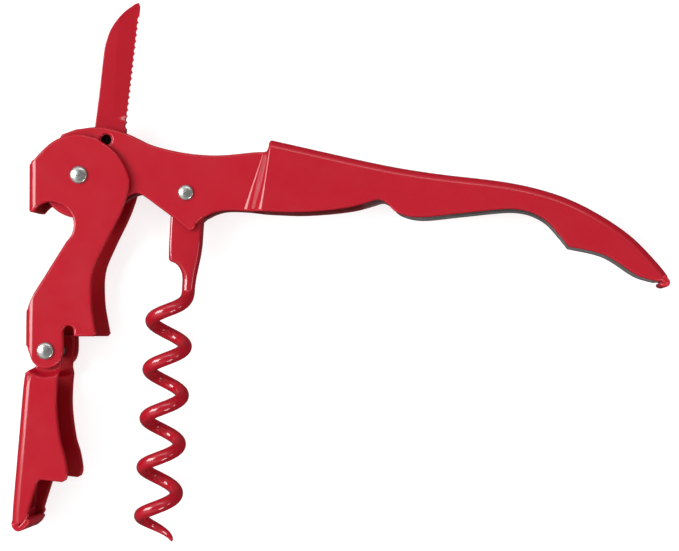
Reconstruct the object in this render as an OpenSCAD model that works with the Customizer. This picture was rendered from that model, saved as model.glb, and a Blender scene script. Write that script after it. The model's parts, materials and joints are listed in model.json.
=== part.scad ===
// Double-hinged waiter's corkscrew, lying flat with its lever, worm and blade swung out.
// All outlines are drawn in the plane of the tool, measured from the main rivet at [0, 0].
// +X runs towards the tail of the handle, +Y towards its back, +Z up from the table.

/* [Sheet] */
// Thickness of the steel sheet
sheet_t = 1.2; // [1:0.1:1.4]
// Outer width of the handle's body and of the first lever's lower half
body_w = 12.5; // [12.2:0.1:12.8]
// Outer width of the handle's neck
neck_w = 6.2; // [6:0.1:6.3]
// Outer width of the first lever's head, which straddles the neck
head_w = 9.0; // [9:0.1:9.2]
// Outer width of the second lever's head, which sits between the ears
knuckle_w = 9.7; // [9.5:0.1:9.8]
// Outer width of the second lever
foot_w = 12.9; // [12.8:0.1:13.2]

/* [Rivets] */
// Diameter of the main, worm and lever rivets' shanks
rivet_d = 2.5; // [2.3:0.05:2.6]
// Diameter of the main rivet's heads
main_head_d = 3.3; // [3:0.1:3.6]
// Diameter of the worm rivet's heads
worm_head_d = 2.9; // [2.8:0.1:3.2]
// Diameter of the lever rivet's heads
lever_head_d = 3.2; // [3:0.1:3.6]
// Height of a domed rivet head
rivet_head_h = 0.7; // [0.5:0.1:0.8]
// Outer diameter of the blade's tubular rivet
eyelet_d = 2.3; // [2.1:0.1:2.4]
// Bore of the blade's tubular rivet
eyelet_bore_d = 1.5; // [1.2:0.1:1.6]
// Radial running clearance of every hole on its rivet
run_gap = 0.04; // [0.02:0.01:0.08]
// Axial gap that keeps moving faces apart
face_gap = 0.05; // [0.03:0.01:0.08]

/* [Worm] */
// Thickness of the flattened shank
shank_t = 3.4; // [3:0.1:3.5]
// Width of the flattened shank
shank_w = 6.0; // [5.6:0.1:6.2]
// Diameter of the worm's wire
wire_d = 2.5; // [2.2:0.1:2.6]
// Radius of the helix, at the middle of the wire
helix_r = 3.3; // [3.1:0.05:3.35]
// Advance of the helix in one turn
helix_pitch = 9.25; // [9:0.05:9.4]
// Number of turns
helix_turns = 4.95; // [4:0.05:5]
// How far the helix axis sits to the left of the worm rivet
helix_side = 2.3; // [2.2:0.05:2.4]
// Distance from the worm rivet to where the helix starts
helix_start = 20.0; // [19.5:0.1:20.5]
// Lean of the worm from straight down
worm_lean = 3.35; // [3:0.05:4]

/* [Blade] */
// Thickness of the foil-cutter blade
blade_t = 1.2; // [1:0.1:1.3]
// Advance from one serration to the next
tooth_pitch = 1.2; // [1:0.1:1.4]
// Number of serrations
tooth_count = 18; // [8:1:18]
// Radius of each serration
tooth_r = 0.7; // [0.62:0.02:0.8]

/* [Hidden] */
$fn = 48;

// The origin is the middle of the footprint, on the table.
origin_x = 48.7;
origin_y = -18.1;
mid_z = body_w / 2 + face_gap + rivet_head_h;

// Axes of the pivots
worm_at = [20.2, -3.4];
hinge_at = [-5.8, -33.1];
blade_at = [4.8, 6.8];

neck_gap = neck_w - 2 * sheet_t;
hole_r = rivet_d / 2 + run_gap;
eyelet_hole_r = eyelet_d / 2 + run_gap;

RED = [0.76, 0.14, 0.19];
DEEP_RED = [0.66, 0.11, 0.16];
STEEL = [0.80, 0.80, 0.79];

// Half the height of every cut, and more than the reach of any cheek
far = 20;
long = 140;

// ---- Outline helpers ----

// Smooth curve through the points P, which it passes through, in n steps between each pair
function at_end(P, i) = P[max(0, min(len(P) - 1, i))];
function blend4(a, b, c, d, t) =
    0.5 * (2 * b + (c - a) * t + (2 * a - 5 * b + 4 * c - d) * t * t
           + (3 * b - a - 3 * c + d) * t * t * t);
function smooth(P, n = 4) = concat(
    [for (i = [0 : len(P) - 2], k = [0 : n - 1])
        blend4(at_end(P, i - 1), P[i], P[i + 1], at_end(P, i + 2), k / n)],
    [P[len(P) - 1]]);

// Points on an arc, from angle a to angle b
function arc(c, r, a, b, n = 8) =
    [for (k = [0 : n]) c + r * [cos(a + (b - a) * k / n), sin(a + (b - a) * k / n)]];

// A path moved sideways by d, to its right
function unit(v) = v / norm(v);
function heading(P, i) = unit(at_end(P, i + 1) - at_end(P, i - 1));
function moved(P, d) = [for (i = [0 : len(P) - 1])
    P[i] + d * [heading(P, i)[1], -heading(P, i)[0]]];
function reversed(P) = [for (i = [len(P) - 1 : -1 : 0]) P[i]];

// Prism of an outline, centred on the tool's mid-plane
module prism(points, w) {
    translate([0, 0, -w / 2]) linear_extrude(height = w) polygon(points);
}

// Wall of the sheet's thickness that follows a path on the path's right
module wall(path, w) {
    prism(concat(path, reversed(moved(path, sheet_t))), w);
}

// Box from one corner of the plane to another, centred on the mid-plane
module slab(low, high, w) {
    translate([low[0], low[1], -w / 2]) cube([high[0] - low[0], high[1] - low[1], w]);
}

module hole(at, r) {
    translate([at[0], at[1], -far]) cylinder(r = r, h = 2 * far);
}

// Both cheeks of a pressed channel, seen along Y: narrow before x = a, wide after x = b
module cheeks(a, b, narrow_w, wide_w) {
    n = narrow_w / 2;
    w = wide_w / 2;
    strip = [[-long, n], [a, n], [b, w], [long, w], [long, w - sheet_t], [b, w - sheet_t],
             [a, n - sheet_t], [-long, n - sheet_t]];
    for (side = [0, 1]) {
        mirror([0, 0, side]) translate([0, long, 0]) rotate([90, 0, 0])
            linear_extrude(height = 2 * long) polygon(strip);
    }
}

// Puts a piece, drawn round the main rivet, on the table with the origin under its middle
module place(colour) {
    color(colour) translate([-origin_x, -origin_y, mid_z]) children();
}

// ---- Handle: narrow neck, then a channel that is open below and closed at the tail ----

neck_r = 8.1;
joggle_lean = -13;
joggle_x = [31.4, 34.9];
tail_wall = [[107.7, -25], [111, -10]];
back_curve = smooth([[36.0, 6.3], [41.5, 5.0], [57, 1.4], [67.3, -0.4], [80.3, -2.1],
                     [89.3, -4.4], [96.3, -7.7], [102.7, -12.1], [107.5, -17.1], [109.4, -19.6]]);
handle_outline = concat(
    arc([0, 0], neck_r, 125, 295, 20),
    smooth([[6.6, -5.6], [9.4, -3.8], [11.4, -3.6], [14.9, -6.0], [19.2, -9.2]]),
    arc([21.0, -9.4], 1.0, 235, 360, 6),
    smooth([[23.3, -8.2], [27.3, -6.8], [35.7, -7.2], [42.2, -7.4], [50.6, -6.7], [56.4, -5.2]]),
    smooth([[57.0, -5.2], [58.3, -5.9], [60.2, -7.6], [64.3, -8.5], [72.1, -7.8], [81.5, -7.1],
            [86.7, -8.8], [90.0, -12.2]]),
    smooth([[91.4, -14.0], [97.9, -15.6], [103.6, -19.2], [107.3, -20.4]]),
    arc([108.9, -20.5], 0.95, 225, 385, 8),
    reversed(back_curve),
    reversed(smooth([[-1.1, 8.8], [3.7, 9.2], [8.8, 7.9], [13.8, 5.6], [20, 4.1], [26.2, 3.6],
                     [32.8, 4.1], [35.7, 4.3], [36.2, 5.6]])),
    [[-3.7, 7.9]]);

module handle() {
    place(RED) difference() {
        intersection() {
            prism(handle_outline, body_w);
            union() {
                rotate([0, 0, joggle_lean]) cheeks(joggle_x[0], joggle_x[1], neck_w, body_w);
                wall(back_curve, body_w);
                slab(tail_wall[0], tail_wall[1], body_w);
            }
        }
        hole([0, 0], hole_r);
        hole(worm_at, hole_r);
        hole(blade_at, eyelet_hole_r);
    }
}

// ---- First lever: crown-cap hook on top, ears and bottle step below ----

lever_left_x = -9.8;
lever_inner_x = lever_left_x + sheet_t;
hook_spine_y = [-10, 20];
low_spine_y = [-32.2, -20];
flare_y = [-11.7, -18.5];
ear_r = 3.3;
first_outline = concat(
    smooth([[3.4, 6.9], [-0.5, 7.8], [-5.0, 6.5], [-8.7, 3.2]]),
    [[-9.6, 2.8], [lever_left_x, 2.4], [lever_left_x, -6.4], [-9.5, -6.9], [-9.0, -6.8]],
    smooth([[-7.6, -5.6], [-5.6, -5.0], [-2.7, -6.0], [-1.1, -8.5], [-1.3, -11.0],
            [-2.4, -12.6]]),
    [[-9.2, -23.8], [lever_left_x, -25.2], [lever_left_x, -32.4]],
    arc(hinge_at, ear_r, 195, 335, 12),
    [[-2.5, -33.1], [-2.5, -29.4]],
    arc([-1.5, -29.4], 1.0, 165, 0, 8),
    [[-0.5, -30.4], [3.3, -30.4]],
    smooth([[3.8, -29.9], [3.4, -27.9], [2.8, -23.8], [3.0, -18.2], [5.0, -13.4], [8.1, -7.2],
            [9.6, -2.4], [9.2, 0.6], [7.0, 4.2], [3.4, 6.9]]));

module first_lever() {
    place(RED) difference() {
        intersection() {
            prism(first_outline, body_w);
            union() {
                rotate([0, 0, -90]) cheeks(-flare_y[0], -flare_y[1], head_w, body_w);
                slab([lever_left_x, hook_spine_y[0]], [lever_inner_x, hook_spine_y[1]], head_w);
                slab([lever_left_x, low_spine_y[0]], [lever_inner_x, low_spine_y[1]], body_w);
            }
        }
        hole([0, 0], hole_r);
        hole(hinge_at, hole_r);
    }
}

// ---- Second lever: knuckle between the ears, then a channel with a closed toe ----

second_spine = smooth([[-12.35, -65.2], [-12.2, -62], [-11.1, -48.8], [-10.4, -40.2],
                       [-10.1, -37.8]]);
knuckle_r = 2.8;
knuckle_joggle_y = [-36.5, -38.6];
second_outline = concat(
    arc([-3.8, -31.0], 0.9, 0, 90, 4),
    arc([-5.2, -32.5], 2.4, 90, 130, 4),
    arc(hinge_at, knuckle_r, 160, 215, 6),
    [[-8.1, -36.0], [-9.8, -37.3]],
    reversed(second_spine),
    smooth([[-12.1, -66.3], [-10.9, -66.9], [-9.4, -66.2], [-8.0, -64.7]]),
    [[-7.9, -64.2], [-8.9, -63.9]],
    smooth([[-9.1, -63.4], [-7.9, -59.6], [-7.2, -57.6], [-6.5, -57.2]]),
    [[-2.6, -57.6]],
    smooth([[-1.8, -57.2], [-1.5, -55.9], [-2.0, -52.8], [-2.9, -49.7], [-3.6, -44.5],
            [-3.6, -40.2], [-3.2, -35.8], [-2.9, -32.4]]));

module second_lever() {
    place(RED) difference() {
        intersection() {
            prism(second_outline, foot_w);
            union() {
                rotate([0, 0, -90])
                    cheeks(-knuckle_joggle_y[0], -knuckle_joggle_y[1], knuckle_w, foot_w);
                wall(second_spine, foot_w);
                toe();
            }
        }
        hole(hinge_at, hole_r);
    }
}

// Curled end that joins the spine to both cheeks
toe_curve = smooth([[-7.0, -63.9], [-8.4, -65.4], [-9.6, -66.5], [-10.9, -67.0], [-12.6, -66.6]]);
toe_corner = [[-13, -68], [-10.8, -65]];

module toe() {
    wall(toe_curve, foot_w);
    slab(toe_corner[0], toe_corner[1], foot_w);
}

// ---- Worm: flat shank, then a tapered right-hand helix ----
// It is drawn with its rivet at [0, 0] and s measured down its own axis.

taper_turns = 0.55;
point_share = 0.14;
ease = 1.8;
ring_sides = 8;
rings_per_turn = 14;
lead_length = 8;
worm_end = helix_start + helix_turns * helix_pitch;
ring_step = helix_pitch / rings_per_turn;
ring_count = floor((worm_end - helix_start + lead_length) / ring_step);

// The angle winds up gently where the straight lead turns into the helix.
function wound(s) = s < helix_start - ease ? 0
    : s > helix_start + ease ? s - helix_start
    : (s - helix_start + ease) * (s - helix_start + ease) / (4 * ease);
function turn_at(s) = 360 * wound(s) / helix_pitch;
function worm_point(s) = [helix_r * cos(turn_at(s)) - helix_side, -s, helix_r * sin(turn_at(s))];
function fullness(s) = sqrt(min(1, (worm_end - s) / (taper_turns * helix_pitch)));
function wire_r(s) = wire_d / 2 * (point_share + (1 - point_share) * fullness(s));
function tangent(s) = unit(worm_point(s + 0.01) - worm_point(s - 0.01));
function ring(s) =
    let (t = tangent(s), out = [cos(turn_at(s)), 0, sin(turn_at(s))], side = unit(cross(t, out)),
         o = cross(side, t))
    [for (k = [0 : ring_sides - 1])
        worm_point(s) + wire_r(s) * (cos(k * 360 / ring_sides) * o
                                     + sin(k * 360 / ring_sides) * side)];

module wire() {
    stations = [for (i = [0 : ring_count]) worm_end - i * ring_step];
    points = [for (s = stations) each ring(s)];
    last = len(stations) - 1;
    n = ring_sides;
    polyhedron(points = points, convexity = 10, faces = concat(
        [[for (k = [n - 1 : -1 : 0]) k]],
        [for (i = [0 : last - 1], k = [0 : n - 1])
            [i * n + k, i * n + (k + 1) % n, (i + 1) * n + (k + 1) % n, (i + 1) * n + k]],
        [[for (k = [0 : n - 1]) last * n + k]]));
}

shank_outline = concat(
    arc([0, 0], 3.1, 0, 180, 12),
    [[-shank_w / 2, -12.9]],
    smooth([[-2.6, -13.4], [-1.6, -13.6], [-0.6, -14.6], [-0.2, -15.6]]),
    [[2.4, -15.6], [2.6, -13.4], [shank_w / 2, -11.4]]);

module worm() {
    place(DEEP_RED) translate([worm_at[0], worm_at[1], 0]) rotate([0, 0, -worm_lean]) {
        difference() {
            prism(shank_outline, shank_t);
            hole([0, 0], hole_r);
        }
        wire();
    }
}

// ---- Blade: serrated foil cutter on its own tubular rivet ----

tang_r = 3.2;
tooth_depth = 0.32;
teeth_above = 2;
edge_top = [10.2, 27.6];
edge_foot = [8.5, 13.0];
blade_outline = concat(
    arc(blade_at, tang_r, 176, 352, 16),
    [[8.1, 9.0], edge_foot, edge_top, [10.7, 32.4], [10.4, 33.2]],
    reversed(smooth([[1.9, 8.6], [2.8, 15.4], [3.7, 23.5], [4.3, 26.2], [5.4, 28.7],
                     [7.4, 31.2], [9.6, 32.9]])));

module blade() {
    along = unit(edge_foot - edge_top);
    out = [-along[1], along[0]];
    place(DEEP_RED) difference() {
        prism(blade_outline, blade_t);
        for (i = [0 : tooth_count - 1]) {
            step = tooth_pitch * (i - teeth_above);
            hole(edge_top + along * step + out * (tooth_r - tooth_depth), tooth_r);
        }
        hole(blade_at, eyelet_hole_r);
    }
}

// ---- Rivets, spacer and washers ----

// Solid rivet with two domed heads, clamping a stack of the given width
module rivet(at, head_d, stack_w) {
    base = stack_w / 2 + face_gap;
    dome_r = (head_d * head_d / 4 + rivet_head_h * rivet_head_h) / (2 * rivet_head_h);
    rim = asin(head_d / 2 / dome_r);
    cap = arc([0, base + rivet_head_h - dome_r], dome_r, 90, 90 - rim);
    profile = concat(cap, [[rivet_d / 2, base], [rivet_d / 2, 0], [0, 0]]);
    translate([at[0], at[1], 0]) for (side = [0, 1]) {
        mirror([0, 0, side]) rotate_extrude() polygon(profile);
    }
}

module tube(at, outer_d, inner_d, length, z = 0) {
    translate([at[0], at[1], z - length / 2]) difference() {
        cylinder(d = outer_d, h = length);
        translate([0, 0, -1]) cylinder(d = inner_d, h = length + 2);
    }
}

module main_rivet() {
    place(STEEL) rivet([0, 0], main_head_d, head_w);
}

module worm_rivet() {
    place(STEEL) rivet(worm_at, worm_head_d, neck_w);
}

module lever_rivet() {
    place(STEEL) rivet(hinge_at, lever_head_d, body_w);
}

module blade_rivet() {
    place(STEEL) tube(blade_at, eyelet_d, eyelet_bore_d, neck_w);
}

spacer_d = 4.6;
washer_d = 4.4;
washer_t = (neck_gap - blade_t) / 2 - 2 * face_gap;
washer_z = blade_t / 2 + face_gap + washer_t / 2;

module main_spacer() {
    place(STEEL) tube([0, 0], spacer_d, 2 * hole_r, neck_gap - 2 * face_gap);
}

module blade_washer_front() {
    place(STEEL) tube(blade_at, washer_d, 2 * eyelet_hole_r, washer_t, washer_z);
}

module blade_washer_rear() {
    place(STEEL) tube(blade_at, washer_d, 2 * eyelet_hole_r, washer_t, -washer_z);
}

handle();
first_lever();
second_lever();
worm();
blade();
main_rivet();
worm_rivet();
lever_rivet();
blade_rivet();
main_spacer();
blade_washer_front();
blade_washer_rear();
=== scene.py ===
"""Waiter's corkscrew: pressed sheet steel in red powder coat, bright rivets, on a pale table.

Meshes are worked out in millimetres in the tool's own plane, with heights measured from its mid-plane.
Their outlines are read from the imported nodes, and the bends, rolled edges, ground faces and round wire
are made here.
"""

import json
import math

import bmesh
import bpy
import numpy as np
from mathutils import Matrix, Vector
from mathutils.geometry import delaunay_2d_cdt

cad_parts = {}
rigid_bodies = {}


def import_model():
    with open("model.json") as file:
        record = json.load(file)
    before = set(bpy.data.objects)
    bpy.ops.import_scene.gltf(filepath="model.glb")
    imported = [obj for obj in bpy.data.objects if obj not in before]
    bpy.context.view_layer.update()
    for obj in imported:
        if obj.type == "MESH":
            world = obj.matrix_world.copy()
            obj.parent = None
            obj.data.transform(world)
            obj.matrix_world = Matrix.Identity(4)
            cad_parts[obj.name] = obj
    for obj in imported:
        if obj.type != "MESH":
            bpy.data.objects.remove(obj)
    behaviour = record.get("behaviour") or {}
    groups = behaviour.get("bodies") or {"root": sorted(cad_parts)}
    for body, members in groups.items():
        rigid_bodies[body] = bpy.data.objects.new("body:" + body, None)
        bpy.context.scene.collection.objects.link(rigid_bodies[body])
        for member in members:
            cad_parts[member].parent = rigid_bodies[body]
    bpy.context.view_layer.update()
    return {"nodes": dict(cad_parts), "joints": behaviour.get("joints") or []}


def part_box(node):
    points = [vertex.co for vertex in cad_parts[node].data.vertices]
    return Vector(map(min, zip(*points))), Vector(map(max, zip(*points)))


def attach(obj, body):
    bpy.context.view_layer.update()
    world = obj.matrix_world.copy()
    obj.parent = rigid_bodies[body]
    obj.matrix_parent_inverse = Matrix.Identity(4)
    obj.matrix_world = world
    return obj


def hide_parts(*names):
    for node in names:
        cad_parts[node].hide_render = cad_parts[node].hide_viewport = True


for leftover in list(bpy.data.objects):
    bpy.data.objects.remove(leftover)

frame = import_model()

MM = 0.001
JOINTS = {joint["name"]: np.array(joint["pos_m"]) / MM for joint in frame["joints"]}
MAIN = JOINTS["lever_fold"][:2]
HINGE = JOINTS["second_lever_fold"][:2]
WORM = JOINTS["worm_fold"][:2]
BLADE = JOINTS["blade_fold"][:2]
MID_Z = JOINTS["lever_fold"][2]

SHEET = 1.2          # thickness of the steel sheet
BEND = 1.7           # outer radius of the bends along the spines
BEND_STEPS = 10      # facets of a bend
BEND_MARGIN = 0.08   # width of the first flat strip on each side of a bend
BEND_REACH = 60.0    # how far a bend's line goes on past its ends, for working out sides
CUT_REACH = 4.0      # how far the lines that split the sheet go on past a bend's ends
SEAM_REACH = 0.003   # points this near the seam lie on it
ROLL = 0.42          # rounding of the cut edges under the powder coat
HOLE_ROLL = 0.36     # rounding of the rivet holes' edges in the levers
NECK_HOLE_ROLL = 0.32
ROLL_STEPS = 5       # facets of a rounded edge
ROLL_MARGIN = 0.07   # width of the first flat strip beside a rounded edge
SHARP_ANGLE = 50.0   # faces that meet at more than this many degrees are shaded with a crease

RIVET_R = 1.25       # shank of the solid rivets
HOLE_PLAY = 0.04     # play between a rivet and what turns on it


# -------------------- outlines

GRID = 0.01          # corners of a node are rounded to this
MITRE_LIMIT = 1.6    # how far a corner may move, as a share of the distance an outline is moved


def at(*point):
    """A place in the plane, measured from the main rivet."""
    return MAIN + np.array(point)


def half_width(node):
    """Half of a node's size along the rivets, in mm."""
    low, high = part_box(node)
    return (high.z - low.z) / MM / 2


def signed_area(loop):
    """Area inside a loop, negative if the loop is clockwise."""
    x, y = loop[:, 0], loop[:, 1]
    return 0.5 * float(np.sum(x * np.roll(y, -1) - np.roll(x, -1) * y))


def without_spikes(loop):
    """A loop of points without the places where it goes out and straight back."""
    for k in range(len(loop)):
        if np.linalg.norm(loop[k - 1] - loop[(k + 1) % len(loop)]) < GRID:
            dropped = {k, (k + 1) % len(loop)}
            return without_spikes([point for i, point in enumerate(loop) if i not in dropped])
    return np.array(loop)


def outlines(node):
    """The outline of a node's front face and the loops of its holes, in mm."""
    mesh = frame["nodes"][node].data
    ids = {}

    def corner(vertex):
        place = tuple(round(c / MM / GRID) for c in mesh.vertices[vertex].co)
        return ids.setdefault(place, len(ids))

    edges = set()
    for face in mesh.polygons:
        if face.normal.z > 0.3 and face.center.z / MM > MID_Z + 0.1:
            ring = [corner(v) for v in face.vertices]
            edges.update(zip(ring, ring[1:] + ring[:1]))
    after = {a: b for a, b in edges if (b, a) not in edges}
    where = {number: place for place, number in ids.items()}
    loops = []
    while after:
        ring = [min(after)]
        while ring[-1] in after:
            ring.append(after.pop(ring[-1]))
        loops.append(without_spikes([np.array(where[k][:2]) * GRID for k in ring[:-1]]))
    loops.sort(key=signed_area, reverse=True)
    return loops[0], loops[1:]


def round_hole(hole, sides=64):
    """The circle that a hole's loop stands for, clockwise."""
    centre = hole.mean(axis=0)
    radius = np.linalg.norm(hole - centre, axis=1).mean()
    angles = -2 * math.pi * np.arange(sides) / sides
    return centre + radius * np.stack([np.cos(angles), np.sin(angles)], axis=1)


def turn(before, here, after):
    """Angle in degrees by which a path turns left at here."""
    a, b = here - before, after - here
    return math.degrees(math.atan2(a[0] * b[1] - a[1] * b[0], a @ b))


def hermite(here, there, start, end, t):
    """A place on the curve from here to there that sets off along start and arrives along end."""
    return ((2 * t ** 3 - 3 * t ** 2 + 1) * here + (t ** 3 - 2 * t ** 2 + t) * start
            + (3 * t ** 2 - 2 * t ** 3) * there + (t ** 3 - t ** 2) * end)


def smoothed(loop, corner=30.0, fine=3.0, shortest=0.14):
    """The same loop with more points wherever it turns gently, so that arcs look round. Turns of corner
    degrees or more stay sharp, and new points are fine degrees and at least shortest mm apart."""
    count = len(loop)
    turns = [abs(turn(loop[i - 1], loop[i], loop[(i + 1) % count])) for i in range(count)]
    result = []
    for i in range(count):
        j = (i + 1) % count
        here, there = loop[i], loop[j]
        chord = there - here
        length = np.linalg.norm(chord)
        gentle = [angle if angle < corner else 0.0 for angle in (turns[i], turns[j])]
        pieces = max(1, min(math.ceil(sum(gentle) / 2 / fine), int(length / shortest)))
        start = there - loop[i - 1] if turns[i] < corner else chord
        end = loop[(j + 1) % count] - here if turns[j] < corner else chord
        start = start / np.linalg.norm(start) * length
        end = end / np.linalg.norm(end) * length
        result += [hermite(here, there, start, end, k / pieces) for k in range(pieces)]
    return np.array(result)


def nearest_to(loop, place):
    """Number of the loop's point that is nearest to a place."""
    return int(np.argmin(np.linalg.norm(loop - place, axis=1)))


def run(loop, start, stop):
    """The points of a loop from the one nearest to start, on to the one nearest to stop."""
    first = nearest_to(loop, start)
    count = (nearest_to(loop, stop) - first) % len(loop) + 1
    return np.array([loop[(first + k) % len(loop)] for k in range(count)])


def normals(path):
    """Unit normals of an open path, on its right."""
    along = np.gradient(path, axis=0)
    along /= np.linalg.norm(along, axis=1)[:, None]
    return np.stack([along[:, 1], -along[:, 0]], axis=1)


def inset(path, distance, closed):
    """A path moved to its left, with mitred corners."""
    if closed:
        before, after = np.roll(path, 1, axis=0), np.roll(path, -1, axis=0)
    else:
        before = np.vstack([2 * path[0] - path[1], path[:-1]])
        after = np.vstack([path[1:], 2 * path[-1] - path[-2]])
    a, b = path - before, after - path
    a /= np.linalg.norm(a, axis=1)[:, None]
    b /= np.linalg.norm(b, axis=1)[:, None]
    left = np.stack([-(a + b)[:, 1], (a + b)[:, 0]], axis=1)
    size = np.linalg.norm(left, axis=1)[:, None]
    left /= np.maximum(size, 1e-6)
    mitre = np.clip(2 / np.maximum(size, 1e-6), 1, MITRE_LIMIT)
    return path + left * mitre * distance


def distance_to(points, path, closed):
    """Distance of each point from a path."""
    a = path if closed else path[:-1]
    b = np.roll(path, -1, axis=0) if closed else path[1:]
    span = b - a
    length2 = np.maximum(np.sum(span * span, axis=1), 1e-12)
    best = np.empty(len(points))
    batch = 2000
    for first in range(0, len(points), batch):
        p = points[first:first + batch, None, :]
        t = np.clip(np.sum((p - a) * span, axis=2) / length2, 0, 1)
        gap = np.linalg.norm(p - (a + t[:, :, None] * span), axis=2)
        best[first:first + batch] = gap.min(axis=1)
    return best


def inside(points, loop):
    """Which points are inside a loop."""
    a, b = loop, np.roll(loop, -1, axis=0)
    x, y = points[:, 0, None], points[:, 1, None]
    across = (a[:, 1] > y) != (b[:, 1] > y)
    rise = np.where(b[:, 1] == a[:, 1], 1e-12, b[:, 1] - a[:, 1])
    crossing = a[:, 0] + (y - a[:, 1]) / rise * (b[:, 0] - a[:, 0])
    return np.sum(across & (x < crossing), axis=1) % 2 == 1


def triangulated(loops, paths):
    """Points and triangles that fill the first loop and leave the others, split along the paths."""
    points, edges = [], []
    for path, closed in [(loop, True) for loop in loops] + [(path, False) for path in paths]:
        first = len(points)
        points.extend(Vector(p) for p in path)
        edges.extend((first + k, first + k + 1) for k in range(len(path) - 1))
        if closed:
            edges.append((first + len(path) - 1, first))
    made = delaunay_2d_cdt(points, edges, [], 0, 1e-4)
    where = np.array([tuple(p) for p in made[0]])
    faces = np.array([tuple(f) for f in made[2]])
    centres = where[faces].mean(axis=1)
    kept = inside(centres, loops[0])
    for hole in loops[1:]:
        kept &= ~inside(centres, hole)
    return where, faces[kept]


# -------------------- sheet metal

def ease(t):
    """0 to 1 with a level start and end."""
    t = np.clip(t, 0, 1)
    return t * t * t * (t * (6 * t - 15) + 10)


def roll_depth(distance, radius):
    """How far a rounded edge has dropped, at a distance from the edge."""
    inner = np.clip(radius - distance, 0, radius)
    return radius - np.sqrt(radius * radius - inner * inner)


def roll_rings(radius):
    """Distances from the edge at which a rounded edge needs points."""
    angles = [math.pi / 2 * k / ROLL_STEPS for k in range(1, ROLL_STEPS + 1)]
    return [radius * (1 - math.cos(angle)) for angle in angles] + [radius + ROLL_MARGIN]


def longer(line, reach):
    """A path whose first and last stretches go on straight for some way."""
    first, last = line[0] - line[1], line[-1] - line[-2]
    start = line[0] + first / np.linalg.norm(first) * reach
    stop = line[-1] + last / np.linalg.norm(last) * reach
    return np.vstack([start, line[1:-1], stop])


class Bend:
    """A bend of one radius along a line. Cheek is to the line's left, and the spine is folded down on
    its right. top(points) gives the height of the cheek's outer face above the mid-plane."""

    def __init__(self, line, top):
        self.line = line
        self.top = top
        self.out = normals(line)
        self.long = longer(line, BEND_REACH)

    def moved(self, distance):
        """The bend's line, moved out over the flat sheet."""
        return self.line + self.out * distance

    def seam(self):
        """Where the flat sheet meets the mid-plane once it is folded."""
        height = self.top(self.line)
        return self.line + self.out * (math.pi / 2 * BEND + height - BEND)[:, None]

    def beside(self, points, slack):
        """Which points are past the bend's start, or at most slack short of it."""
        along = self.line[1] - self.line[0]
        return (points - self.line[0]) @ along / np.linalg.norm(along) > -slack

    def cuts(self):
        """Lines along which the flat sheet is split, so that the bend comes out round."""
        arc = math.pi / 2 * BEND
        steps = [-BEND_MARGIN] + [arc * k / BEND_STEPS for k in range(BEND_STEPS + 1)] + [arc + BEND_MARGIN]
        return [longer(self.moved(step), CUT_REACH) for step in steps]

    def nearest(self, points):
        """The place on the line nearest to each point, and how far past the line the point is."""
        best = np.full(len(points), np.inf)
        foot = points.copy()
        side = np.zeros(len(points))
        for start, stop in zip(self.long[:-1], self.long[1:]):
            vector = stop - start
            t = np.clip((points - start) @ vector / (vector @ vector), 0, 1)
            candidate = start + t[:, None] * vector
            gap = np.linalg.norm(points - candidate, axis=1)
            closer = gap < best
            best[closer] = gap[closer]
            foot[closer] = candidate[closer]
            cross = vector[0] * (points[:, 1] - start[1]) - vector[1] * (points[:, 0] - start[0])
            side[closer] = np.where(cross[closer] > 0, -1, 1)
        return foot, best * side

    def fold(self, points):
        """Places of the flat sheet's points on the folded outer face, and its directions there."""
        foot, beyond = self.nearest(points)
        out = np.where(beyond[:, None] > 1e-6, points - foot, 0)
        size = np.maximum(np.linalg.norm(out, axis=1), 1e-9)[:, None]
        out = out / size
        past = np.maximum(beyond, 0)
        angle = np.minimum(past / BEND, math.pi / 2)
        wall = np.maximum(past - BEND * math.pi / 2, 0)
        base = np.where(beyond[:, None] > 0, foot, points)
        place = base + out * (BEND * np.sin(angle))[:, None]
        height = self.top(base) - BEND * (1 - np.cos(angle)) - wall
        facing = np.hstack([out * np.sin(angle)[:, None], np.cos(angle)[:, None]])
        return np.hstack([place, height[:, None]]), facing


def cut_edges(outline, seams):
    """The stretches of an outline between its seams, which are (first, last) places in its order."""
    following = seams[1:] + seams[:1]
    return [run(outline, last, first) for (_, last), (first, _) in zip(seams, following)]


def split_lines(bends, edges):
    """Lines along which a flat sheet is split, so that its bends and rolled edges come out round."""
    lines = []
    for bend, _ in bends:
        lines += bend.cuts()
    for path, closed, roll in edges:
        for distance in roll_rings(roll):
            ring = inset(path, distance, closed)
            lines.append(np.vstack([ring, ring[:1]]) if closed else ring)
    return lines


def pressed(outline, holes, seams, bends, paths, hole_roll):
    """Mesh data of a folded sheet, worked out for its front half and mirrored.

    outline and holes are the flat sheet's, seams the (first, last) places where it meets the
    mid-plane, bends the (Bend, test) pairs, and paths more lines to split the sheet along."""
    holes = [round_hole(hole) for hole in holes]
    edges = [(path, False, ROLL) for path in cut_edges(outline, seams)]
    edges += [(hole, True, hole_roll) for hole in holes]
    flat, faces = triangulated([outline] + holes, paths + split_lines(bends, edges))
    drop = np.zeros(len(flat))
    for path, closed, roll in edges:
        drop = np.maximum(drop, roll_depth(distance_to(flat, path, closed), roll))
    places = np.hstack([flat, bends[0][0].top(flat)[:, None]])
    facing = np.tile([0.0, 0.0, 1.0], (len(flat), 1))
    for bend, test in bends:
        folded, turned = bend.fold(flat)
        chosen = test(flat)
        places[chosen] = folded[chosen]
        facing[chosen] = turned[chosen]
    on_seam = np.zeros(len(flat), bool)
    for first, last in seams:
        on_seam |= distance_to(flat, run(outline, first, last), False) < SEAM_REACH
    places[on_seam, 2] = 0
    facing[on_seam, 2] = 0
    faces = faces[~on_seam[faces].all(axis=1)]
    return joined(places - facing * drop[:, None], places - facing * (SHEET - drop)[:, None], faces)


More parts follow.
